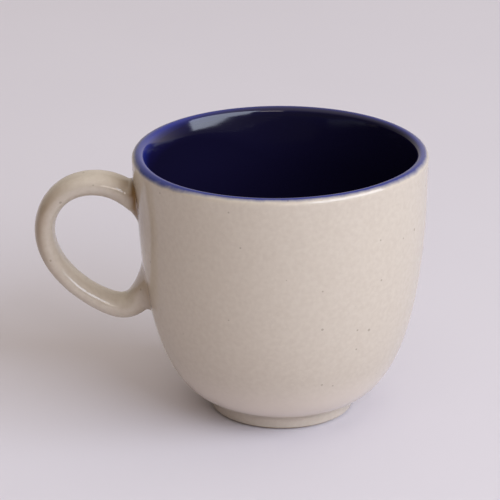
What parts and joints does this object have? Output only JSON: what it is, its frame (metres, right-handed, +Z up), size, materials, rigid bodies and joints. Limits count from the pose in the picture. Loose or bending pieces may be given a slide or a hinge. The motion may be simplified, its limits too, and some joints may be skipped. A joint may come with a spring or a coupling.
{
  "type": "espresso cup",
  "caption": "Small hand-made stoneware coffee cup: a rounded bowl on a foot ring with a pulled loop handle, cobalt glaze inside and cream glaze outside.",
  "frame": {"origin": "on the table, under the middle of the whole cup's box, handle included", "axes": "+Z up along the bowl's axis, -X towards the handle, so the picture looks along +Y"},
  "size_m": [0.0874, 0.065, 0.06],
  "materials": {
    "stoneware": "bare fired buff stoneware, matt",
    "cream_glaze": "glossy cream glaze with fine iron specks",
    "cobalt_glaze": "glossy deep cobalt glaze, thin and paler on the lip"
  },
  "bodies": {
    "root": {"bowl": "stoneware", "foot_ring": "stoneware", "handle": "stoneware", "upper_slip_joint": "cream_glaze", "lower_slip_joint": "cream_glaze", "inside_glaze": "cobalt_glaze", "outside_glaze": "cream_glaze", "handle_glaze": "cream_glaze", "foot_glaze": "cream_glaze"}
  },
  "joints": []
}
